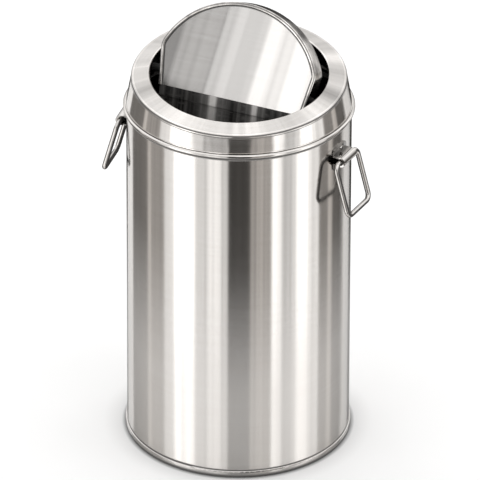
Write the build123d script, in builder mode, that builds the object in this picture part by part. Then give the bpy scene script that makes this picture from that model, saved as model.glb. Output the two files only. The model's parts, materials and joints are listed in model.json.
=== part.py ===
from build123d import *
import os
from math import atan2, cos, degrees, radians, sin, tan

# Countertop bin of thin stainless sheet, in millimetres. +Z is up and the origin is the centre
# of the foot on the counter. The front is -Y, and the handles are at +X and -X. The lid only
# rests on the rim.

# Sheet and fits
sheet = 0.6  # wall of every pressed or rolled part
running_clearance = 0.05  # pivot pins in the flap's ears, radial
end_play = 0.3  # flap between its bushes and the pin ends, each side
loose_fit = 0.6  # bail wire in its strap, radial
weld_gap = 0.1  # pivot bracket under the conical ring
rivet_seat = 0.05  # rivet heads over the curved shell

# Body
foot_radius = 70.0  # outside of the shell at the foot
mouth_inset = 1.1  # the shell is this much narrower all round at its mouth
rim_height = 224.4  # centre of the rolled rim above the counter
foot_straight = 7.0
mouth_straight = 10.0
bead_radius = 1.4
bead_reach = 0.5  # from the shell's outside to the centre of the bead
bead_overlap = 0.4  # top of the shell above the centre of the bead
seam_width = 6.0
seam_notch = 3.0  # the seam stops short of the straight mouth, clear of the lid

# Bottom
hem_height = 4.3
hem_wall = 0.9
hem_inner_height = 3.4
hem_rounding = 0.8
pan_height = 5.0
pan_rounding = 1.0

# Lid
seat_gap = 0.3  # lid flange above the bead
seat_lip = 0.4  # flange beyond the collar
skirt_length = 12.0
skirt_clearance = 0.3
lid_height = 21.8  # centre of the opening above the rim
collar_inset = 3.1  # the collar is this much narrower all round at its top
ring_width = 11.3  # from the collar to the opening
roll_radius = 0.8  # rolled edge of the opening
ring_drop = 2.6  # fall of the top ring from the opening to its edge
ring_lip = 1.2
ring_rounding = 0.9
slant_angle = 6.6  # tilt of the lid's top
slant_heading = 22.0  # the top faces this far from square to the hinge

# Flap, measured from its hinge
hinge_drop = 10.5  # hinge below the plane of the opening
open_angle = 58.0  # stored pose, from closed
face_rise = 2.1  # closed face above the plane of the opening
side_gap = 1.1  # arc of the flap to the opening, beside the hinge
back_gap = 3.6  # and at the back
fold_setback = 8.6  # fold in front of the hinge
fold_inset = 7.5  # ends of the fold inside the opening
side_flare = 8.0  # sides spread from the fold to the arc
side_blend = 12.0
bend_angle = 15.0  # front half against the face
fold_lip = 6.6  # face plate bent down over the front plate
front_start = 0.5
front_gap = 4.0  # arc of the front plate to the opening
band_depth = 13.5
band_wall = 0.7
lip_width = 2.2
lip_wall = 1.1
lip_rounding = 0.9

# Pivots
pin_radius = 1.5
pin_head_radius = 2.8
pin_head_height = 1.1
bush_radius = 2.6
bush_clearance = 0.5  # bush to the notch in the band
ear_wall = 1.0
ear_gap = 0.8  # ear to the band at the fold
ear_width = 13.0
ear_boss_radius = 4.5
ear_foot = 9.0
bracket_wall = 1.2
bracket_width = 10.0
bracket_foot = 7.0
bracket_gap = 0.3  # bracket behind the rolled edge of the opening

# Counterweight
weight_radius = 4.5
weight_setback = 9.7
weight_drop = 16.0
weight_boss_radius = 4.0
stub_radius = 2.0
stub_head_radius = 3.0
stub_head_height = 0.8

# Handles
handle_advance = 6.0  # handles this far forward of the middle
bail_depth = 18.4  # pivot below the rim
bail_offset = 4.5  # pivot outside the shell
wire_radius = 1.6
bail_width = 28.0  # between the wire's centres
bail_drop = 33.6
bail_corner = 4.2
bail_lean = 16.0  # stored pose, out from hanging
strap_width = 16.0
strap_wall = 1.0
strap_height = 15.0
strap_corner = 2.5
rivet_radius = 0.9
rivet_head_radius = 1.4
rivet_head_height = 0.6
rivet_head_taper = 30.0
rivet_height = 5.2  # above and below the bail's pivot

# Levels and radii that follow from these
mouth_radius = foot_radius - mouth_inset
shell_top = rim_height + bead_overlap
mouth_start = shell_top - mouth_straight
seat_height = rim_height + bead_radius + seat_gap
collar_foot = seat_height + sheet
skirt_radius = mouth_radius - sheet - skirt_clearance
hem_radius = foot_radius + hem_wall
pan_radius = foot_radius - sheet
ring_radius = mouth_radius - collar_inset
opening_radius = ring_radius - ring_width
fold_half_width = opening_radius - fold_inset
face_top = hinge_drop + face_rise
plate_top = face_top - lip_wall
plate_bottom = plate_top - sheet
roll_reach = opening_radius + roll_radius
ring_fall = ring_drop / (ring_radius - roll_reach)
ear_face = fold_half_width - band_wall - ear_gap
bracket_face = opening_radius + 2 * roll_radius + bracket_gap
loop_inner = wire_radius + loose_fit
loop_outer = loop_inner + strap_wall

# The lid's top: a plane through the centre of the opening, with X along the hinge
tilt = radians(slant_angle)
heading = radians(slant_heading)
lid_normal = Vector(sin(heading) * sin(tilt), -cos(heading) * sin(tilt), cos(tilt))
across = Vector(1, 0, 0)
hinge_direction = (across - lid_normal * across.dot(lid_normal)).normalized()
lid_plane = Plane((0, 0, rim_height + lid_height), x_dir=hinge_direction, z_dir=lid_normal)
lid_axis = Axis(lid_plane.origin, lid_normal)
lid_section = Plane(
    lid_plane.origin, x_dir=hinge_direction, z_dir=lid_plane.y_dir * -1
)
hinge_plane = lid_plane.offset(-hinge_drop)


def turned(plane, angle, origin=(0, 0, 0)):
    """The plane moved to an origin of its own and turned about its X."""
    normal = plane.z_dir * cos(radians(angle)) - plane.y_dir * sin(radians(angle))
    return Plane(plane.from_local_coords(origin), x_dir=plane.x_dir, z_dir=normal)


flap_plane = turned(hinge_plane, open_angle)
fold_plane = turned(flap_plane, bend_angle, origin=(0, -fold_setback, plate_top))


def shell_radius(level):
    """Outside radius of the shell between its straight foot and its straight mouth."""
    share = (level - foot_straight) / (mouth_start - foot_straight)
    return foot_radius - mouth_inset * share


# The right-hand handle: outward and along its pivot, and planes through the pivot's middle
advance = radians(handle_advance)
outward = Vector(cos(advance), -sin(advance), 0)
sideways = Vector(sin(advance), cos(advance), 0)
bail_height = rim_height - bail_depth
bail_reach = shell_radius(bail_height) + bail_offset
handle_section = Plane((0, 0, 0), x_dir=outward, z_dir=sideways * -1)
handle_front = Plane((0, 0, 0), x_dir=sideways, z_dir=outward)
bail_pivot = Plane(
    handle_section.from_local_coords((bail_reach, bail_height, 0)),
    x_dir=sideways,
    z_dir=outward,
)
wall_slope = degrees(atan2(mouth_inset, mouth_start - foot_straight))
wall_plane = turned(bail_pivot, -wall_slope, origin=(0, 0, -bail_offset))


def station(plane, distance):
    """Plane square to the hinge, at a distance along it: x to the back, y up."""
    origin = plane.from_local_coords((distance, 0, 0))
    return Plane(origin, x_dir=plane.y_dir, z_dir=plane.x_dir)


def flap_outline(inset):
    """Back part of the flap: an arc over two sides that spread from the fold."""
    arc_depth = opening_radius - back_gap - inset
    half_width = fold_half_width - inset
    spread = (arc_depth + fold_setback) * tan(radians(side_flare))
    with BuildSketch() as outline:
        Ellipse(opening_radius - side_gap - inset, arc_depth)
        with BuildLine():
            Polyline(
                (-half_width, -fold_setback),
                (half_width, -fold_setback),
                (half_width + spread, arc_depth),
                (-half_width - spread, arc_depth),
                close=True,
            )
        make_face(mode=Mode.INTERSECT)
        shoulders = outline.vertices().filter_by(lambda corner: corner.Y > 0)
        fillet(shoulders, side_blend - inset)
    return outline.sketch


os.makedirs("parts", exist_ok=True)

# Body -----------------------------------------------------------------------------------------

rivet_spots = ((0, -rivet_height), (0, rivet_height))
rivet_foot = wall_plane.offset(-sheet - rivet_seat)
rivet_grip = sheet + strap_wall + 2 * rivet_seat
with BuildPart() as rivet_bores:
    with BuildSketch(rivet_foot):
        with Locations(*rivet_spots):
            Circle(rivet_radius)
    extrude(amount=rivet_grip)
    mirror(about=Plane.YZ)

seam_arc = seam_width / foot_radius
seam_end = mouth_start - seam_notch
seam_start = Plane(
    (0, 0, 0),
    x_dir=(sin(seam_arc / 2), cos(seam_arc / 2), 0),
    z_dir=(cos(seam_arc / 2), -sin(seam_arc / 2), 0),
)
with BuildPart() as body_shell:
    with BuildSketch(Plane.XZ):
        with BuildLine():
            Polyline(
                (foot_radius, hem_wall),
                (foot_radius, foot_straight),
                (mouth_radius, mouth_start),
                (mouth_radius, shell_top),
                (mouth_radius - sheet, shell_top),
                (mouth_radius - sheet, mouth_start),
                (foot_radius - sheet, foot_straight),
                (foot_radius - sheet, hem_wall),
                close=True,
            )
        make_face()
    revolve(axis=Axis.Z)
    # lock seam, folded to the inside down the back
    with BuildSketch(seam_start):
        with BuildLine():
            Polyline(
                (foot_radius - sheet, foot_straight),
                (shell_radius(seam_end) - sheet, seam_end),
                (shell_radius(seam_end) - 2 * sheet, seam_end),
                (foot_radius - 2 * sheet, foot_straight),
                close=True,
            )
        make_face()
    revolve(axis=Axis.Z, revolution_arc=degrees(seam_arc))
    # rivet holes for the handle straps
    add(rivet_bores.part, mode=Mode.SUBTRACT)
body_shell.part.label = "body_shell"
export_step(body_shell.part, "parts/body_shell.step")

with BuildPart() as body_rim:
    with BuildSketch(Plane.XZ):
        with Locations((mouth_radius + bead_reach, rim_height)):
            Circle(bead_radius)
        with Locations((mouth_radius, rim_height)):
            Rectangle(
                bead_radius,
                2 * bead_radius,
                align=(Align.MAX, Align.CENTER),
                mode=Mode.SUBTRACT,
            )
    revolve(axis=Axis.Z)
body_rim.part.label = "body_rim"
export_step(body_rim.part, "parts/body_rim.step")

with BuildPart() as base_pan:
    with BuildSketch(Plane.XZ):
        with BuildLine():
            Polyline(
                (0, pan_height),
                (pan_radius - sheet, pan_height),
                (pan_radius - sheet, hem_wall),
                (pan_radius, hem_wall),
                (pan_radius, pan_height + sheet),
                (0, pan_height + sheet),
                close=True,
            )
        make_face()
        fillet(vertices().group_by(Axis.X)[-1].sort_by(Axis.Y)[-1], pan_rounding)
    revolve(axis=Axis.Z)
base_pan.part.label = "base_pan"
export_step(base_pan.part, "parts/base_pan.step")

with BuildPart() as base_hem:
    with BuildSketch(Plane.XZ):
        with BuildLine():
            Polyline(
                (hem_radius, 0),
                (hem_radius, hem_height),
                (foot_radius, hem_height),
                (foot_radius, hem_wall),
                (pan_radius - sheet, hem_wall),
                (pan_radius - sheet, hem_inner_height),
                (pan_radius - sheet - hem_wall, hem_inner_height),
                (pan_radius - sheet - hem_wall, 0),
                close=True,
            )
        make_face()
        fillet(vertices().group_by(Axis.X)[-1], hem_rounding)
    revolve(axis=Axis.Z)
base_hem.part.label = "base_hem"
export_step(base_hem.part, "parts/base_hem.step")

# Lid ------------------------------------------------------------------------------------------

with BuildPart() as lid_skirt:
    with BuildSketch(Plane.XZ):
        with Locations((skirt_radius, collar_foot)):
            Rectangle(sheet, sheet + skirt_length, align=(Align.MAX, Align.MAX))
        with Locations((mouth_radius + seat_lip, collar_foot)):
            Rectangle(
                mouth_radius + seat_lip - skirt_radius + sheet,
                sheet,
                align=(Align.MAX, Align.MAX),
            )
    revolve(axis=Axis.Z)
lid_skirt.part.label = "lid_skirt"
export_step(lid_skirt.part, "parts/lid_skirt.step")

with BuildPart() as lid_collar:
    for inset, mode in ((0, Mode.ADD), (sheet, Mode.SUBTRACT)):
        with BuildSketch(Plane.XY.offset(collar_foot)):
            Circle(mouth_radius - inset)
        with BuildSketch(lid_plane.offset(-ring_drop - ring_lip)):
            Circle(ring_radius - inset)
        loft(ruled=True, mode=mode)
lid_collar.part.label = "lid_collar"
export_step(lid_collar.part, "parts/lid_collar.step")

with BuildPart() as lid_ring:
    with BuildSketch(lid_section):
        with BuildLine():
            Polyline(
                (roll_reach, 0),
                (ring_radius, -ring_drop),
                (ring_radius, -ring_drop - ring_lip),
                (ring_radius - sheet, -ring_drop - ring_lip),
                (ring_radius - sheet, sheet * ring_fall - ring_drop - sheet),
                (roll_reach, -sheet),
                close=True,
            )
        make_face()
        fillet(vertices().group_by(Axis.X)[-1].sort_by(Axis.Y)[-1], ring_rounding)
        with Locations((roll_reach, -roll_radius)):
            Circle(roll_radius)
    revolve(axis=lid_axis)
lid_ring.part.label = "lid_ring"
export_step(lid_ring.part, "parts/lid_ring.step")

# Flap -----------------------------------------------------------------------------------------

with BuildPart() as flap_plate:
    with BuildSketch(flap_plane.offset(plate_top)):
        add(flap_outline(band_wall))
    extrude(amount=-sheet)
    # front edge bent down over the front plate
    with BuildSketch(fold_plane):
        Rectangle(
            2 * (fold_half_width - band_wall),
            fold_lip,
            align=(Align.CENTER, Align.MAX),
        )
    extrude(amount=-sheet)
flap_plate.part.label = "flap_plate"
export_step(flap_plate.part, "parts/flap_plate.step")

with BuildPart() as flap_rim_band:
    with BuildSketch(flap_plane.offset(face_top)):
        add(flap_outline(0))
    extrude(amount=-band_depth)
    with BuildSketch(flap_plane.offset(plate_top)):
        add(flap_outline(band_wall))
    extrude(amount=-band_depth, mode=Mode.SUBTRACT)
    with BuildSketch(flap_plane.offset(face_top)):
        add(flap_outline(lip_width))
    extrude(amount=-band_depth, mode=Mode.SUBTRACT)
    # the lip is rolled over on both sides, but not across its ends at the fold
    lip = flap_rim_band.faces().sort_by(Axis(flap_plane.origin, flap_plane.z_dir))[-1]
    fold_line = flap_plane.offset(face_top)
    rolled = lip.edges().filter_by(
        lambda edge: fold_line.to_local_coords(edge @ 0.5).Y > lip_width - fold_setback
    )
    fillet(rolled, lip_rounding)
    # notches that swing round the fixed bushes
    with BuildSketch(station(flap_plane, 0)):
        Circle(bush_radius + bush_clearance)
    extrude(amount=opening_radius, both=True, mode=Mode.SUBTRACT)
flap_rim_band.part.label = "flap_rim_band"
export_step(flap_rim_band.part, "parts/flap_rim_band.step")

with BuildPart() as flap_front_plate:
    with BuildSketch(fold_plane.offset(-sheet)):
        with Locations((0, fold_setback)):
            Circle(opening_radius - front_gap)
        with Locations((0, -front_start)):
            Rectangle(
                2 * (fold_half_width - band_wall),
                opening_radius,
                align=(Align.CENTER, Align.MAX),
                mode=Mode.INTERSECT,
            )
    extrude(amount=-sheet)
flap_front_plate.part.label = "flap_front_plate"
export_step(flap_front_plate.part, "parts/flap_front_plate.step")

with BuildPart() as flap_counterweight:
    with BuildSketch(station(flap_plane, 0)):
        with Locations((-weight_setback, -weight_drop)):
            Circle(weight_radius)
    extrude(amount=ear_face - ear_wall, both=True)
    with BuildSketch(station(flap_plane, 0)):
        with Locations((-weight_setback, -weight_drop)):
            Circle(stub_radius)
    extrude(amount=ear_face + stub_head_height, both=True)
    for side in (-1, 1):
        with BuildSketch(station(flap_plane, side * ear_face)):
            with Locations((-weight_setback, -weight_drop)):
                Circle(stub_head_radius)
        extrude(amount=side * stub_head_height)
flap_counterweight.part.label = "flap_counterweight"
export_step(flap_counterweight.part, "parts/flap_counterweight.step")

with BuildPart() as flap_ear_right:
    with BuildSketch(station(flap_plane, ear_face)):
        Circle(ear_boss_radius)
        with Locations((-weight_setback, -weight_drop)):
            Circle(weight_boss_radius)
        with Locations((0, plate_bottom)):
            Rectangle(ear_width, ear_wall, align=(Align.CENTER, Align.MAX))
        make_hull()
        Circle(pin_radius + running_clearance, mode=Mode.SUBTRACT)
        with Locations((-weight_setback, -weight_drop)):
            Circle(stub_radius, mode=Mode.SUBTRACT)
    extrude(amount=-ear_wall)
    with BuildSketch(flap_plane.offset(plate_bottom)):
        with Locations((ear_face, 0)):
            Rectangle(ear_foot, ear_width, align=(Align.MAX, Align.CENTER))
    extrude(amount=-ear_wall)
flap_ear_right.part.label = "flap_ear_right"
export_step(flap_ear_right.part, "parts/flap_ear_right.step")

# Pivots ---------------------------------------------------------------------------------------

with BuildPart() as pivot_bracket_right:
    foot_end = bracket_face + bracket_foot
    root, tip = [
        -sheet - weld_gap - ring_fall * (reach - roll_reach)
        for reach in (bracket_face, foot_end)
    ]
    with BuildSketch(lid_section):
        with BuildLine():
            Polyline(
                (bracket_face, root),
                (foot_end, tip),
                (foot_end, tip - bracket_wall),
                (bracket_face + bracket_wall, root - bracket_wall * (1 + ring_fall)),
                (bracket_face + bracket_wall, -hinge_drop - bracket_width / 2),
                (bracket_face, -hinge_drop - bracket_width / 2),
                close=True,
            )
        make_face()
    extrude(amount=bracket_width / 2, both=True)
    lower_corners = (
        pivot_bracket_right.edges()
        .filter_by(Axis((0, 0, 0), hinge_direction))
        .sort_by(Axis(lid_plane.origin, lid_normal))[:2]
    )
    fillet(lower_corners, bracket_width / 2 - bracket_wall)
    with BuildSketch(station(hinge_plane, bracket_face)):
        Circle(pin_radius)
    extrude(amount=bracket_wall, mode=Mode.SUBTRACT)
pivot_bracket_right.part.label = "pivot_bracket_right"
export_step(pivot_bracket_right.part, "parts/pivot_bracket_right.step")

with BuildPart() as pivot_bush_right:
    with BuildSketch(station(hinge_plane, ear_face + end_play)):
        Circle(bush_radius)
        Circle(pin_radius, mode=Mode.SUBTRACT)
    extrude(amount=bracket_face - ear_face - end_play)
pivot_bush_right.part.label = "pivot_bush_right"
export_step(pivot_bush_right.part, "parts/pivot_bush_right.step")

with BuildPart() as pivot_pin_right:
    pin_end = ear_face - ear_wall - end_play
    with BuildSketch(station(hinge_plane, pin_end)):
        Circle(pin_radius)
    extrude(amount=bracket_face + bracket_wall - pin_end)
    with BuildSketch(station(hinge_plane, pin_end)):
        Circle(bush_radius)
    extrude(amount=-pin_head_height)
    with BuildSketch(station(hinge_plane, bracket_face + bracket_wall)):
        Circle(pin_head_radius)
    extrude(amount=pin_head_height)
pivot_pin_right.part.label = "pivot_pin_right"
export_step(pivot_pin_right.part, "parts/pivot_pin_right.step")

# Handles --------------------------------------------------------------------------------------

strap_bottom = bail_height - strap_height / 2
strap_top = bail_height + strap_height / 2
with BuildPart() as handle_strap_right:
    # tabs that lie on the shell
    with BuildSketch(Plane.XZ):
        with BuildLine():
            Polyline(
                (shell_radius(strap_bottom), strap_bottom),
                (shell_radius(strap_bottom) + strap_wall, strap_bottom),
                (shell_radius(strap_top) + strap_wall, strap_top),
                (shell_radius(strap_top), strap_top),
                close=True,
            )
        make_face()
    revolve(axis=Axis.Z)
    with BuildSketch(handle_front):
        with Locations((0, bail_height)):
            RectangleRounded(strap_width, strap_height, strap_corner)
            Rectangle(strap_width, 2 * loop_inner, mode=Mode.SUBTRACT)
    extrude(amount=bail_reach, mode=Mode.INTERSECT)
    # loop round the bail's bar
    loop_root = shell_radius(bail_height) + strap_wall / 2
    with BuildSketch(handle_section):
        for half_height, mode in ((loop_outer, Mode.ADD), (loop_inner, Mode.SUBTRACT)):
            with Locations((bail_reach, bail_height)):
                Circle(half_height, mode=mode)
                Rectangle(
                    bail_reach - loop_root,
                    2 * half_height,
                    align=(Align.MAX, Align.CENTER),
                    mode=mode,
                )
    extrude(amount=strap_width / 2, both=True)
    add(rivet_bores.part, mode=Mode.SUBTRACT)
handle_strap_right.part.label = "handle_strap_right"
export_step(handle_strap_right.part, "parts/handle_strap_right.step")

with BuildPart() as strap_rivets:
    with BuildSketch(rivet_foot):
        with Locations(*rivet_spots):
            Circle(rivet_radius)
    extrude(amount=rivet_grip)
    with BuildSketch(rivet_foot):
        with Locations(*rivet_spots):
            Circle(rivet_head_radius)
    extrude(amount=-rivet_head_height)
    with BuildSketch(rivet_foot.offset(rivet_grip)):
        with Locations(*rivet_spots):
            Circle(rivet_head_radius)
    extrude(amount=rivet_head_height, taper=rivet_head_taper)
    mirror(about=Plane.YZ)
strap_rivets.part.label = "strap_rivets"
export_step(strap_rivets.part, "parts/strap_rivets.step")

with BuildPart() as handle_bail_right:
    with BuildLine(turned(bail_pivot, -bail_lean)) as bail_line:
        FilletPolyline(
            (-bail_width / 2, 0),
            (-bail_width / 2, -bail_drop),
            (bail_width / 2, -bail_drop),
            (bail_width / 2, 0),
            radius=bail_corner,
            close=True,
        )
    with BuildSketch(Plane(bail_line.line @ 0, z_dir=bail_line.line % 0)):
        Circle(wire_radius)
    sweep(path=bail_line.line)
handle_bail_right.part.label = "handle_bail_right"
export_step(handle_bail_right.part, "parts/handle_bail_right.step")

# Left-hand pieces -----------------------------------------------------------------------------

hinge_middle = station(hinge_plane, 0)
for right_piece, mirror_plane in (
    (flap_ear_right, hinge_middle),
    (pivot_bracket_right, hinge_middle),
    (pivot_bush_right, hinge_middle),
    (pivot_pin_right, hinge_middle),
    (handle_strap_right, Plane.YZ),
    (handle_bail_right, Plane.YZ),
):
    with BuildPart() as left_piece:
        mirror(right_piece.part, about=mirror_plane)
    left_piece.part.label = right_piece.part.label.replace("right", "left")
    export_step(left_piece.part, f"parts/{left_piece.part.label}.step")
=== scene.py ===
import json
import math

import bpy
from mathutils import Matrix, Vector


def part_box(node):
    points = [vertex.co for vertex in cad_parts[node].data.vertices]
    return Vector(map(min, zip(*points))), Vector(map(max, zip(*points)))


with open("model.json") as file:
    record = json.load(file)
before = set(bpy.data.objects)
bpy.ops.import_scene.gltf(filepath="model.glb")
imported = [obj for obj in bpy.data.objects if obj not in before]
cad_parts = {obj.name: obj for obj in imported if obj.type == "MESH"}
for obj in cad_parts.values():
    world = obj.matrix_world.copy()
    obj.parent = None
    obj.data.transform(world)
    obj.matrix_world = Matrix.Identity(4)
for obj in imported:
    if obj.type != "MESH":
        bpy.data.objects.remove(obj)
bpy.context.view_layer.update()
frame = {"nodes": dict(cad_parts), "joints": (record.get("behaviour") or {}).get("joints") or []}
nodes = frame["nodes"]
joints = {joint["name"]: joint for joint in frame["joints"]}

# Lengths are in metres.

# Camera: the picture is square. The bin is seen from above, a little to the right of its front.
AZIMUTH = math.radians(22.0)
ELEVATION = math.radians(29.13)
ROLL = math.radians(0.184)
DISTANCE = 2.9414
LENS = 356.3  # mm, as is the sensor
SENSOR = 36.0
FAR_CLIP = 40.0
TARGET = (0.00084, 0.0, 0.1292)  # right, away and up, seen from the camera's side

# Brushing, in repeats per metre
GRAIN_ALONG = 22.0
GRAIN_FINE = 5200.0
GRAIN_COARSE = 900.0
GRAIN_STRENGTH = 0.12
GRAIN_DEPTH = 0.00002
GRAIN_TINT = (0.95, 1.03)  # of the lows and highs of the brushing, as shares of the steel's
GRAIN_ROUGHNESS = (0.85, 1.15)
SMUDGE_SCALE = 38.0
SMUDGE = 0.012  # how far smudges change the roughness
ALONG_TANGENT = 0.25  # turn of the gloss, in whole turns
WARMTH = 0.03
# Painted shade: how dark the painted shade lines and edges are, and how much duller they make the
# steel
SHADE_LINE_DARKNESS = 0.85
SHADE_ROUGHNESS = 0.45
NOISE_LOW, NOISE_HIGH = 0.3, 0.7  # nearly all of a noise lies between them

# Shapes that the finishes follow, as in the part's source
SLANT_ANGLE = math.radians(6.6)
SLANT_HEADING = math.radians(22.0)
OPEN_ANGLE = math.radians(58.0)
STRAP_REACH = 0.0711  # outer side of the handle straps' plates, from the bin's axis
STRAP_EDGE = 0.0015
FOLD_SETBACK = 0.0087  # fold of the flap in front of the hinge
FACE_MIDDLE = 0.02  # middle of the face behind the hinge
OPENING_HEIGHT = 0.2462  # middle of the opening above the counter
RING_RADIUS = 0.0658
RING_SHOULDER = 0.0012  # how far in from there the rounding may reach
# The next number places a painted highlight on the ring
RING_GLINT = 0.0013  # how far in from there the ring is brightest
RING_FLUTTER = 0.0006
# Foot of the ring, along the lid's normal
RING_EDGE = OPENING_HEIGHT * math.cos(SLANT_ANGLE) - 0.0042
# Outline of the flap: an oval arc, and sides that flare upwards, measured from the hinge
EDGE_REACH = (0.0534, 0.0509)
EDGE_HALF_WIDTH = 0.0482
EDGE_FLARE = 0.1405
LIP_WIDTH = 0.0022
# Painted shade along the inside of the flap's lip: its width
EDGE_SHADE_WIDTH = (0.0003, 0.0009)  # from the lip: where it starts to fade, and where it ends
FACE_DISH = 1.6  # rise over the square of the distance from the middle
FACE_WAVE = 0.0009
FACE_LEAN = 0.1  # how far the painted reflection bands lean, as a slope

# Painted reflections: fans of lighter and darker colour round the ring: degrees from its front,
# half width, and change
RING_REFLECTION_FANS = (
    (-90, 14, 0.26),
    (-74, 10, 0.1),
    (-50, 11, -0.36),
    (-34, 8, -0.12),
    (-15, 14, 0.2),
    (0, 8, 0.12),
    (28, 12, 0.26),
    (52, 7, -0.08),
    (70, 9, 0.24),
    (90, 10, -0.44),
    (112, 12, -0.15),
    (130, 10, 0.42),
    (150, 12, 0.2),
)
# Painted reflections: bands of lighter and darker colour over the face: middle and half width
# along the hinge, and change
FACE_REFLECTION_BANDS = (
    (-0.0475, 0.008, -0.35),
    (-0.0085, 0.0055, 0.14),
    (0.0155, 0.0055, 0.1),
    (0.0265, 0.0055, -0.14),
    (0.038, 0.0055, 0.03),
)
# Painted reflection bars on the flap's front: middle and half width along the hinge, and strength
FRONT_REFLECTION_BARS = ((-0.0112, 0.0036, 1.0), (0.016, 0.0026, 0.8))
# The glow round each bar is painted light
BAR_HALO = (3.5, 0.16)  # half width and strength of the glow round a bar, in those of the bar


# Node helpers ---------------------------------------------------------------------------------


class Tree:
    """Short calls for building a node tree."""

    def __init__(self, owner):
        owner.use_nodes = True
        self.tree = owner.node_tree
        self.tree.nodes.clear()

    def node(self, kind, **settings):
        made = self.tree.nodes.new(kind)
        for key, value in settings.items():
            setattr(made, key, value)
        return made

    def plug(self, socket, value):
        if isinstance(value, bpy.types.NodeSocket):
            self.tree.links.new(value, socket)
        else:
            socket.default_value = value

    def end(self, shader, kind="ShaderNodeOutputMaterial"):
        out = self.node(kind)
        self.tree.links.new(shader.outputs[0], out.inputs["Surface"])

    def coordinate(self, name):
        return self.node("ShaderNodeTexCoord").outputs[name]

    def math(self, operation, *values, clamp=False):
        made = self.node("ShaderNodeMath", operation=operation, use_clamp=clamp)
        for socket, value in zip(made.inputs, values):
            self.plug(socket, value)
        return made.outputs[0]

    def add(self, first, second):
        return self.math("ADD", first, second)

    def subtract(self, first, second):
        return self.math("SUBTRACT", first, second)

    def multiply(self, first, second):
        return self.math("MULTIPLY", first, second)

    def vector(self, operation, *values):
        made = self.node("ShaderNodeVectorMath", operation=operation)
        for socket, value in zip(made.inputs, values):
            self.plug(socket, value)
        return made.outputs["Value" if operation in ("DOT_PRODUCT", "LENGTH") else "Vector"]

    def scale(self, vector, factor):
        made = self.node("ShaderNodeVectorMath", operation="SCALE")
        self.plug(made.inputs[0], vector)
        self.plug(made.inputs["Scale"], factor)
        return made.outputs["Vector"]

    def combine(self, x, y, z):
        made = self.node("ShaderNodeCombineXYZ")
        for socket, value in zip(made.inputs, (x, y, z)):
            self.plug(socket, value)
        return made.outputs[0]

    def split(self, vector):
        made = self.node("ShaderNodeSeparateXYZ")
        self.plug(made.inputs[0], vector)
        return made.outputs

    def noise(self, vector, scale=1.0, detail=2.0, roughness=0.5):
        made = self.node("ShaderNodeTexNoise")
        self.plug(made.inputs["Vector"], vector)
        made.inputs["Scale"].default_value = scale
        made.inputs["Detail"].default_value = detail
        made.inputs["Roughness"].default_value = roughness
        return made.outputs["Fac"]

    def spread(self, value, from_low, from_high, to_low, to_high):
        made = self.node("ShaderNodeMapRange")
        for socket, number in zip(made.inputs, (value, from_low, from_high, to_low, to_high)):
            self.plug(socket, number)
        return made.outputs[0]

    def vary(self, noise, low, high):
        """Spread a noise over its whole range."""
        return self.spread(noise, NOISE_LOW, NOISE_HIGH, low, high)

    def band(self, value, middle, half_width, change, core=0.0):
        """A change round a middle: full over the core share of its half width, then fading."""
        away = self.math("ABSOLUTE", self.subtract(value, middle))
        return self.spread(away, half_width * core, half_width, change, 0.0)

    def mix(self, share, first, second):
        made = self.node("ShaderNodeMix", data_type="RGBA")
        self.plug(made.inputs["Factor"], share)
        for socket, value in ((made.inputs[6], first), (made.inputs[7], second)):
            self.plug(socket, value)
        return made.outputs[2]

    def bump(self, height, strength, depth, normal=None):
        made = self.node("ShaderNodeBump")
        made.inputs["Strength"].default_value = strength
        made.inputs["Distance"].default_value = depth
        self.plug(made.inputs["Height"], height)
        if normal:
            self.plug(made.inputs["Normal"], normal)
        return made.outputs[0]


def grey(level, warmth=0.0):
    """A near-neutral colour; warmth moves it from blue towards red."""
    return (level * (1 + warmth), level, level * (1 - warmth), 1.0)


# Colours of painted shade, in joints, creases, rounded edges and under rims
SHADE_COLOUR = grey(0.03, 0.05)
FAINT_SHADE_COLOUR = grey(0.04, 0.05)


# Steel ----------------------------------------------------------------------------------------

hinge = joints["flap_swing"]
hinge_point = Vector(hinge["pos_m"])
hinge_axis = Vector(hinge["axis"]).normalized()
# Out of the lid's top and, as stored, out of the flap's face and up it
lid_normal = Vector(
    (
        math.sin(SLANT_HEADING) * math.sin(SLANT_ANGLE),
        -math.cos(SLANT_HEADING) * math.sin(SLANT_ANGLE),
        math.cos(SLANT_ANGLE),
    )
)
face_out = Matrix.Rotation(OPEN_ANGLE, 3, hinge_axis) @ lid_normal
face_up = face_out.cross(hinge_axis)


def level_on(tree, place, direction, start):
    """How far a place is along a direction, from a starting point."""
    reached = tree.vector("DOT_PRODUCT", place, direction)
    return tree.subtract(reached, start.dot(direction))


def on_face(tree, place):
    """How far a place is along the hinge, and up the flap's face, from the hinge's middle."""
    return (
        level_on(tree, place, hinge_axis, hinge_point),
        level_on(tree, place, face_up, hinge_point),
    )


def from_axis(tree, place):
    """The level way from the bin's axis to a place."""
    return tree.vector("MULTIPLY", place, (1.0, 1.0, 0.0))


def facing_out(tree, place):
    """How far the surface faces away from the bin's axis, from -1 to 1."""
    outward = tree.vector("NORMALIZE", from_axis(tree, place))
    return tree.vector("DOT_PRODUCT", tree.coordinate("Normal"), outward)


def brushing(tree, place, lie):
    """Fine and coarse streaks, long along the brushing and short across it."""
    if lie == "round":
        level = from_axis(tree, place)
        along = tree.scale(level, GRAIN_ALONG)
        across = tree.add(tree.vector("LENGTH", level), tree.split(place)[2])
    else:
        sideways, across = on_face(tree, place)
        along = tree.combine(tree.multiply(sideways, GRAIN_ALONG), 0.0, 0.0)
    streaks = []
    for rate, detail in ((GRAIN_FINE, 3.0), (GRAIN_COARSE, 2.0)):
        at = tree.vector("ADD", along, tree.combine(0.0, 0.0, tree.multiply(across, rate)))
        streaks.append(tree.noise(at, detail=detail, roughness=0.6))
    return streaks


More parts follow.
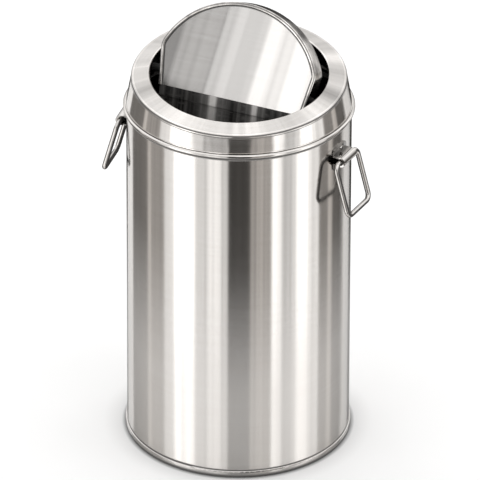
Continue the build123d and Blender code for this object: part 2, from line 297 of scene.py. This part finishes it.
def dull_where_shaded(tree, shade_share, metallic, roughness):
    """Where shade is painted, the steel is no metal, and dull."""
    unshaded = tree.subtract(1.0, shade_share)
    duller = tree.multiply(shade_share, SHADE_ROUGHNESS)
    return tree.multiply(metallic, unshaded), tree.add(roughness, duller)


def steel(
    name,
    tint=0.72,
    rough=0.12,
    stretch=0.88,
    lie="round",
    warmth=WARMTH,
    edge=1.0,
    shade_lines=(),
    special=None,
):
    """Brushed stainless steel. The brushing lies round the bin's axis or along the hinge.

    stretch is how far the brushing draws out reflections. edge below 1 dims the gloss at a
    glancing angle, as handled or oxidised steel does. The shade lines are painted shade: dark
    lines in joints, under the bead and round the foot, where shade falls: (direction, level
    along it, half width). special(tree, place, colour, roughness) returns a changed colour and
    roughness, a metallic share, and a normal or None.
    """
    material = bpy.data.materials.new(name)
    tree = Tree(material)
    place = tree.coordinate("Object")
    fine, coarse = brushing(tree, place, lie)
    smudge = tree.noise(place, scale=SMUDGE_SCALE, detail=3.0)
    shader = tree.node("ShaderNodeBsdfPrincipled")
    tree.end(shader)
    streaks = tree.add(tree.multiply(fine, 0.5), tree.multiply(coarse, 0.5))
    colour = tree.mix(
        tree.vary(streaks, 0.0, 1.0),
        grey(tint * GRAIN_TINT[0], warmth * 1.5),
        grey(tint * GRAIN_TINT[1], warmth),
    )
    roughness = tree.add(
        tree.vary(streaks, *(rough * share for share in GRAIN_ROUGHNESS)),
        tree.spread(smudge, 0.35, 0.65, -SMUDGE, SMUDGE),
    )
    metallic, normal = 1.0, None
    if special:
        colour, roughness, metallic, normal = special(tree, place, colour, roughness)
    # Painted shade: dark lines in joints, under the bead and round the foot, where shade falls
    for direction, level, half_width in shade_lines:
        reached = tree.vector("DOT_PRODUCT", place, direction)
        line = tree.band(reached, level, half_width, SHADE_LINE_DARKNESS, core=0.5)
        colour = tree.mix(line, colour, SHADE_COLOUR)
        metallic, roughness = dull_where_shaded(tree, line, metallic, roughness)
    tree.plug(shader.inputs["Base Color"], colour)
    tree.plug(shader.inputs["Metallic"], metallic)
    tree.plug(shader.inputs["Roughness"], roughness)
    shader.inputs["Specular Tint"].default_value = grey(edge)
    shader.inputs["Specular IOR Level"].default_value = 0.5 * edge
    if stretch:
        shader.inputs["Anisotropic"].default_value = stretch
        shader.inputs["Anisotropic Rotation"].default_value = ALONG_TANGENT
        if lie == "round":
            tangent = tree.node("ShaderNodeTangent", direction_type="RADIAL", axis="Z").outputs[0]
        else:
            tangent = tree.combine(*hinge_axis)
        tree.plug(shader.inputs["Tangent"], tangent)
    grain = tree.bump(fine, GRAIN_STRENGTH, GRAIN_DEPTH, normal)
    tree.plug(shader.inputs["Normal"], grain)
    return material


def shaded_inside(tree, place, colour, roughness):
    """Painted shade on the inner side: dark, with long lighter streaks up and down that are
    painted reflections.
    """
    inner = tree.math("LESS_THAN", facing_out(tree, place), -0.3)
    stretched = tree.vector("MULTIPLY", place, (70.0, 70.0, 2.0))
    # Painted reflections: lighter streaks up and down over the painted shade
    reflection_streak = tree.spread(tree.noise(stretched, detail=1.0), 0.5, 0.7, 0.0, 1.0)
    inside_shade = tree.mix(reflection_streak, grey(0.16, 0.04), grey(0.6, 0.02))
    return tree.mix(inner, colour, inside_shade), roughness, 1.0, None


def spun(tree, place, colour, roughness):
    """Spun on a lathe, and the ring flutters a little. Its colour varies softly at random, and
    fans of lighter and darker colour round it are painted reflections.

    A thin ring just inside its shoulder is a painted highlight, and the shoulder is painted
    shade, dark and dull.
    """
    from_middle = tree.vector("SUBTRACT", place, (0.0, 0.0, OPENING_HEIGHT))
    above = tree.vector("DOT_PRODUCT", from_middle, lid_normal)
    flat = tree.vector("SUBTRACT", from_middle, tree.scale(tuple(lid_normal), above))
    reach = tree.vector("LENGTH", flat)
    outward = tree.vector("NORMALIZE", flat)
    shade = tree.vary(tree.noise(outward, scale=14.0, detail=3.0, roughness=0.6), 0.85, 0.95)
    turned = tree.math(
        "ARCTAN2",
        tree.vector("DOT_PRODUCT", outward, hinge_axis),
        tree.vector("DOT_PRODUCT", outward, hinge_axis.cross(lid_normal)),
    )
    # Painted reflections: fans of lighter and darker colour round the ring
    for middle, half_width, change in RING_REFLECTION_FANS:
        reflection_fan = tree.band(turned, math.radians(middle), math.radians(half_width), change)
        shade = tree.add(shade, reflection_fan)
    # Painted highlight: a thin bright ring just inside the shoulder
    glint = tree.band(reach, RING_RADIUS - RING_GLINT, 0.0006, 0.2, core=1 / 3)
    shade = tree.add(shade, glint)
    # The rounding turns from level to upright; the painted shade on it leaves both ends of that
    # out
    facing = tree.vector("DOT_PRODUCT", tree.coordinate("Normal"), lid_normal)
    rounding = tree.multiply(
        tree.spread(facing, 0.0, 0.12, 0.0, 1.0), tree.spread(facing, 0.8, 0.93, 0.8, 0.0)
    )
    outside = tree.math("GREATER_THAN", reach, RING_RADIUS - RING_SHOULDER)
    shoulder = tree.multiply(outside, rounding)
    colour = tree.mix(shoulder, tree.scale(colour, shade), FAINT_SHADE_COLOUR)
    metallic, roughness = dull_where_shaded(tree, shoulder, 1.0, roughness)
    flutter = tree.bump(tree.noise(outward, scale=6.0, detail=1.0), 1.0, RING_FLUTTER)
    return colour, roughness, metallic, flutter


def folded_face(tree, place, colour, roughness):
    """The face is very slightly dished. Bands of lighter and darker colour across it are painted
    reflections, and a dark line inside its lip is painted shade. Forward of its fold the sheet is
    painted dark as shade, with painted reflection bars, and glossy.
    """
    along = level_on(tree, place, hinge_axis - face_up * FACE_LEAN, hinge_point)
    uneven = tree.noise(tree.combine(along, 0.0, 0.0), scale=46.0, detail=1.5)
    tone_and_reflections = tree.vary(uneven, 0.95, 1.03)
    # Painted reflections: bands of lighter and darker colour across the face
    for middle, half_width, change in FACE_REFLECTION_BANDS:
        tone_and_reflections = tree.add(tone_and_reflections, tree.band(along, middle, half_width, change, core=0.6))
    dish = tree.multiply(tree.multiply(along, along), FACE_DISH)
    dent = tree.bump(tree.add(dish, tree.multiply(uneven, FACE_WAVE)), 1.0, 1.0)

    sideways, upwards = on_face(tree, place)
    oval = tree.combine(
        tree.math("DIVIDE", sideways, EDGE_REACH[0]),
        tree.math("DIVIDE", upwards, EDGE_REACH[1]),
        0.0,
    )
    from_arc = tree.multiply(tree.subtract(1.0, tree.vector("LENGTH", oval)), EDGE_REACH[1])
    from_side = tree.subtract(
        tree.add(tree.multiply(upwards, EDGE_FLARE), EDGE_HALF_WIDTH),
        tree.math("ABSOLUTE", sideways),
    )
    from_edge = tree.math("MINIMUM", from_arc, from_side)
    faded, ended = (LIP_WIDTH + width for width in EDGE_SHADE_WIDTH)
    # Painted shade: a dark line inside the lip
    edge_shade = tree.spread(from_edge, faded, ended, SHADE_LINE_DARKNESS, 0.0)
    colour = tree.mix(edge_shade, tree.scale(colour, tone_and_reflections), SHADE_COLOUR)
    unshaded, roughness = dull_where_shaded(tree, edge_shade, 1.0, roughness)

    # Forward of the fold: painted shade with painted reflection bars
    front = tree.math("LESS_THAN", upwards, -FOLD_SETBACK)
    sheen, blur, metal = front_shade_and_sheen(tree, place)
    metallic = tree.multiply(
        unshaded, tree.subtract(1.0, tree.multiply(front, tree.subtract(1.0, metal)))
    )
    roughness = tree.add(roughness, tree.multiply(front, blur))
    return tree.mix(front, colour, sheen), roughness, metallic, dent


def front_shade_and_sheen(tree, place):
    """Painted shade: a dark sheet, mottled, with streaks up and down, and two painted reflection
    bars, each with a painted glow.

    Returns its colour, the roughness that it adds, and its metallic share.
    """
    along, across = on_face(tree, place)
    streaks = tree.noise(tree.combine(along, 0.0, 0.0), scale=260.0, detail=3.0)
    mottle_at = tree.combine(tree.multiply(along, 90.0), tree.multiply(across, 420.0), 0.0)
    mottle = tree.spread(tree.noise(mottle_at, detail=2.0), 0.5, 0.75, 0.0, 0.5)
    sheen = tree.math("MAXIMUM", tree.spread(streaks, 0.45, 0.75, 0.0, 1.0), mottle)
    shade = tree.mix(sheen, grey(0.02, 0.05), grey(0.2, 0.04))
    halo_width, halo_strength = BAR_HALO
    bright = 0.0
    for middle, half_width, strength in FRONT_REFLECTION_BARS:
        bar = tree.band(along, middle, half_width, strength, core=0.4)
        halo = tree.band(
            along,
            middle,
            half_width * halo_width,
            strength * halo_strength,
            core=1 / halo_width,
        )
        bright = tree.math("MAXIMUM", tree.math("MAXIMUM", bar, halo), bright)
    return (
        tree.mix(bright, shade, grey(0.98, 0.03)),
        tree.spread(bright, 0.0, 1.0, 0.15, 0.4),
        tree.spread(bright, 0.0, 1.0, 0.1, 0.6),
    )


def front_plate(tree, place, colour, roughness):
    """The flap's front plate, painted as dark as the sheet that is folded down over it: painted
    shade, with painted reflection bars.
    """
    sheen, blur, metal = front_shade_and_sheen(tree, place)
    return sheen, tree.add(roughness, blur), metal, None


def side_shaded_wire(tree, place, colour, roughness):
    """Drawn wire. The loop's sides towards and away from the bin are painted shade: darker, dull
    and no metal.
    """
    faced = facing_out(tree, place)
    # Painted shade on the loop's sides towards and away from the bin
    clear = tree.math(
        "MINIMUM",
        tree.spread(faced, -0.4, 0.0, 0.1, 1.0),
        tree.spread(faced, 0.76, 0.9, 1.0, 0.1),
    )
    worn = tree.noise(place, scale=120.0, detail=2.0)
    shade = tree.multiply(clear, tree.vary(worn, 0.88, 1.1))
    side_shade = tree.spread(clear, 0.1, 1.0, 0.8, 0.0)
    metallic, roughness = dull_where_shaded(tree, side_shade, 1.0, roughness)
    return tree.scale(colour, shade), roughness, metallic, None


def shaded_strap(tree, place, colour, roughness):
    """The plate against the bin is painted dark as shade. The loop round the wire is painted
    bright as a highlight, and its underside is painted shade.
    """
    reach = tree.vector("LENGTH", from_axis(tree, place))
    # Painted shade on the plate against the bin, painted highlight on the loop
    plate_shade_and_loop_highlight = tree.spread(reach, STRAP_REACH, STRAP_REACH + STRAP_EDGE, 0.5, 1.3)
    upward = tree.split(tree.coordinate("Normal"))[2]
    # Painted shade on the underside
    under = tree.spread(upward, -0.8, -0.1, 0.25, 1.0)
    return tree.scale(colour, tree.multiply(plate_shade_and_loop_highlight, under)), roughness, 1.0, None


def rolled_lip(tree, place, colour, roughness):
    """Painted shade darkens the inner side of the lip, against the face, and a line where its
    roll starts.
    """
    middle = hinge_point + face_up * FACE_MIDDLE
    inward = tree.vector("SUBTRACT", middle, place)
    faced = tree.vector(
        "DOT_PRODUCT", tree.coordinate("Normal"), tree.vector("NORMALIZE", inward)
    )
    # Painted shade: inside of the lip, and a dark line where the roll starts
    inner = tree.spread(faced, 0.25, 0.6, 0.0, 0.9)
    outer = tree.band(faced, -0.6, 0.35, 0.75, core=2 / 7)
    dark = tree.math("MAXIMUM", inner, outer)
    patches = tree.spread(tree.noise(place, scale=95.0, detail=4.0), 0.35, 0.65, 0.5, 1.3)
    metallic, roughness = dull_where_shaded(tree, dark, 1.0, roughness)
    return tree.mix(dark, tree.scale(colour, patches), FAINT_SHADE_COLOUR), roughness, metallic, None


def plastic(name, level):
    """Plain moulded plastic with a fine speckle."""
    material = bpy.data.materials.new(name)
    tree = Tree(material)
    speckle = tree.noise(tree.coordinate("Object"), scale=2600.0, detail=3.0)
    shader = tree.node("ShaderNodeBsdfPrincipled")
    tree.end(shader)
    colour = tree.mix(tree.vary(speckle, 0.0, 1.0), grey(level * 0.8), grey(level * 1.3))
    tree.plug(shader.inputs["Base Color"], colour)
    tree.plug(shader.inputs["Roughness"], tree.vary(speckle, 0.45, 0.6))
    tree.plug(shader.inputs["Normal"], tree.bump(speckle, 0.2, 0.00005))
    return material


rim_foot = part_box("body_rim")[0][2]
hem_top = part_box("base_hem")[1][2]
UP = (0.0, 0.0, 1.0)
# The lines given to these finishes are painted shade: under the bead, above the hem, between ring
# and collar, and round the foot
body_steel = steel(
    "body_steel",
    edge=0.65,
    shade_lines=((UP, rim_foot, 0.0019), (UP, hem_top, 0.0013)),
    special=shaded_inside,
)
collar_steel = steel(
    "collar_steel",
    rough=0.13,
    edge=0.65,
    shade_lines=((lid_normal, RING_EDGE, 0.0002),),
    special=shaded_inside,
)
ring_steel = steel("ring_steel", rough=0.2, stretch=0.85, edge=0.5, special=spun)
rim_steel = steel(
    "rim_steel", tint=0.68, rough=0.1, stretch=0.5, edge=0.4, shade_lines=((UP, rim_foot, 0.0013),)
)
hem_steel = steel("hem_steel", tint=0.52, stretch=0.5, shade_lines=((UP, 0.0, 0.0028),))
wire_steel = steel(
    "wire_steel", tint=0.62, rough=0.04, stretch=0.0, edge=0.1, special=side_shaded_wire
)
strap_steel = steel("strap_steel", tint=0.45, rough=0.1, stretch=0.0, special=shaded_strap)
flap_steel = steel(
    "flap_steel", rough=0.16, lie="straight", warmth=0.018, special=folded_face
)
band_steel = steel(
    "flap_band_steel", tint=0.82, rough=0.17, stretch=0.0, edge=0.3, special=rolled_lip
)
inner_steel = steel("inner_steel", tint=0.25, rough=0.3, stretch=0.0)
front_steel = steel("front_steel", stretch=0.0, lie="straight", special=front_plate)
pin_steel = steel("pin_steel", tint=0.4, rough=0.3, stretch=0.0)
bush_plastic = plastic("bush_plastic", 0.03)

finishes = {
    "body_shell": body_steel,
    "body_rim": rim_steel,
    "base_pan": inner_steel,
    "base_hem": hem_steel,
    "handle_strap_right": strap_steel,
    "handle_strap_left": strap_steel,
    "strap_rivets": wire_steel,
    "lid_skirt": body_steel,
    "lid_collar": collar_steel,
    "lid_ring": ring_steel,
    "pivot_bracket_right": inner_steel,
    "pivot_bracket_left": inner_steel,
    "pivot_bush_right": bush_plastic,
    "pivot_bush_left": bush_plastic,
    "pivot_pin_right": pin_steel,
    "pivot_pin_left": pin_steel,
    "flap_plate": flap_steel,
    "flap_rim_band": band_steel,
    "flap_front_plate": front_steel,
    "flap_ear_right": inner_steel,
    "flap_ear_left": inner_steel,
    "flap_counterweight": pin_steel,
    "handle_bail_right": wire_steel,
    "handle_bail_left": wire_steel,
}
for node_name, finish in finishes.items():
    slots = nodes[node_name].data.materials
    slots.clear()
    slots.append(finish)

# Floor ----------------------------------------------------------------------------------------

FLOOR_SIZE = 12.0
FLOOR_LEVEL = 0.97
# Shade of the bin, painted into the floor's colour: from, to, and the brightness that it starts
# with
CONTACT_SHADES = ((0.0705, 0.0735, 0.35), (0.071, 0.085, 0.88))
# Seen in the steel, part of the floor is missing: this share up to the first reach from the
# bin's axis, and all of it from the second on
MISSING_SHARE = 0.52
MISSING_REACH = (0.17, 0.34)

bpy.ops.mesh.primitive_plane_add(size=FLOOR_SIZE)
floor = bpy.context.object
floor.name = "floor"
floor_material = bpy.data.materials.new("floor")
tree = Tree(floor_material)
reach = tree.vector("LENGTH", tree.coordinate("Object"))
colour = (FLOOR_LEVEL, FLOOR_LEVEL, FLOOR_LEVEL)
for start, end, level in CONTACT_SHADES:
    colour = tree.scale(colour, tree.spread(reach, start, end, level, 1.0))
gone = tree.multiply(
    tree.node("ShaderNodeLightPath").outputs["Is Glossy Ray"],
    tree.spread(reach, *MISSING_REACH, MISSING_SHARE, 1.0),
)
shader = tree.node("ShaderNodeBsdfDiffuse")
tree.plug(shader.inputs["Color"], colour)
clear = tree.node("ShaderNodeBsdfTransparent")
blend = tree.node("ShaderNodeMixShader")
for socket, value in zip(blend.inputs, (gone, shader.outputs[0], clear.outputs[0])):
    tree.plug(socket, value)
tree.end(blend)
floor.data.materials.append(floor_material)

# Studio: tall softboxes and dark flags stand round the bin, under a bright ceiling. Each is
# given by where it starts, in degrees from the camera and positive to its right, and by how
# bright it is; it reaches to the next.

STUDIO = (
    (-180, 0.06),
    (-161, 1.5),
    (-140, 0.2),
    (-107, 0.66),
    (-102, 0.37),
    (-82, 1.0),
    (-70, 1.9),
    (-46, 0.92),
    (-29, 1.22),
    (-18, 0.82),
    (-11, 0.065),
    (12, 0.43),
    (34, 1.45),
    (44, 0.8),
    (61, 1.7),
    (75, 0.98),
    (90, 0.27),
    (104, 0.66),
    (111, 0.13),
    (131, 1.05),
    (156, 0.06),
)
PANEL_EDGE = 1.2  # half width of the soft edge of a panel, in degrees
DARK_PANEL = 0.7  # a panel darker than this is warm
PANEL_WARMTH = (0.05, 0.006)  # of dark and of bright panels
HOODS = ((-35.0, -12.0, 0.5), (-70.0, -46.5, 1.3))  # hung over the panels: from, to, brightness
HOOD_WARMTH = 0.01
HOOD_EDGE = (0.22, 0.28)  # lower edge of the hoods, as heights on a globe of radius 1
CEILING = 1.3
CEILING_PATCHES = (0.62, 1.2)
CEILING_EDGE = (-0.2, 0.5)  # its lower edge behind the bin and in front of it, on that globe
CEILING_FADE = 0.3
# Unevenness of the panels, in wide and in narrow streaks: a noise's scale, detail and roughness
PANEL_STREAKS = ((9.0, 5.0, 0.75), (26.0, 3.0, 0.7))
PANEL_UNEVEN = 0.22
# A ramp holds 32 stops, so two share the turn. They meet inside this panel, so far into it.
RAMP_PANEL = 10
RAMP_INSET = 5.0

world = bpy.data.worlds.new("studio")
bpy.context.scene.world = world
tree = Tree(world)
x, y, z = tree.split(tree.coordinate("Generated"))
turn = tree.subtract(tree.math("ARCTAN2", x, tree.multiply(y, -1.0)), AZIMUTH)
way_round = tree.math("FRACT", tree.add(tree.math("DIVIDE", turn, 2 * math.pi), 1.5))
degrees = tree.subtract(tree.multiply(way_round, 360.0), 180.0)


def place_on_ramp(angle):
    return (angle + 180) / 360


def panels(table, end):
    """The panels of one side, as a ramp over the whole turn."""
    ramp = tree.node("ShaderNodeValToRGB")
    stops = ramp.color_ramp
    stops.elements.remove(stops.elements[1])
    marks = []
    for (start, level), (stop, _) in zip(table, table[1:] + ((end, None),)):
        colour = grey(level, PANEL_WARMTH[level >= DARK_PANEL])
        marks.append((place_on_ramp(start + PANEL_EDGE), colour))
        marks.append((place_on_ramp(stop - PANEL_EDGE), colour))
    for at, colour in marks[1:]:
        stops.elements.new(at).color = colour
    stops.elements[0].position, stops.elements[0].color = marks[0]
    tree.plug(ramp.inputs[0], way_round)
    return ramp.outputs[0]


ring = tree.mix(
    tree.math("GREATER_THAN", way_round, place_on_ramp(STUDIO[RAMP_PANEL][0] + RAMP_INSET)),
    panels(STUDIO[: RAMP_PANEL + 1], STUDIO[RAMP_PANEL + 1][0]),
    panels(STUDIO[RAMP_PANEL:], 180),
)
for start, end, level in HOODS:
    over = tree.multiply(
        tree.spread(degrees, start - PANEL_EDGE, start + PANEL_EDGE, 0.0, 1.0),
        tree.spread(degrees, end - PANEL_EDGE, end + PANEL_EDGE, 1.0, 0.0),
    )
    hood = tree.multiply(over, tree.spread(z, *HOOD_EDGE, 0.0, 1.0))
    ring = tree.mix(hood, ring, grey(level, HOOD_WARMTH))
level_towards = tree.vector("NORMALIZE", tree.combine(x, y, 0.0))
for scale, detail, roughness in PANEL_STREAKS:
    uneven = tree.noise(level_towards, scale=scale, detail=detail, roughness=roughness)
    ring = tree.scale(ring, tree.vary(uneven, 1 - PANEL_UNEVEN, 1 + PANEL_UNEVEN))
edge = tree.spread(tree.math("COSINE", turn), -0.6, 0.4, *CEILING_EDGE)
height = tree.math("DIVIDE", tree.subtract(z, edge), CEILING_FADE, clamp=True)
patches = tree.noise(level_towards, scale=3.4, detail=1.0)
ceiling = tree.mix(
    tree.spread(patches, 0.35, 0.65, 0.0, 1.0),
    *(grey(CEILING * share) for share in CEILING_PATCHES),
)
background = tree.node("ShaderNodeBackground")
tree.plug(background.inputs["Color"], tree.mix(height, ring, ceiling))
background.inputs["Strength"].default_value = 1.0
tree.end(background, "ShaderNodeOutputWorld")

# Camera ---------------------------------------------------------------------------------------

right = Vector((math.cos(AZIMUTH), math.sin(AZIMUTH), 0))
away = Vector((-math.sin(AZIMUTH), math.cos(AZIMUTH), 0))
up = Vector(UP)
target = right * TARGET[0] + away * TARGET[1] + up * TARGET[2]
back = up * math.sin(ELEVATION) - away * math.cos(ELEVATION)
camera_data = bpy.data.cameras.new("camera")
camera_data.lens = LENS
camera_data.sensor_width = SENSOR
camera_data.clip_end = FAR_CLIP
camera = bpy.data.objects.new("camera", camera_data)
bpy.context.scene.collection.objects.link(camera)
facing = (-back).to_track_quat("-Z", "Y").to_matrix().to_4x4()
camera.matrix_world = (
    Matrix.Translation(target + back * DISTANCE) @ facing @ Matrix.Rotation(ROLL, 4, "Z")
)
bpy.context.scene.camera = camera
bpy.context.scene.view_settings.view_transform = "Standard"
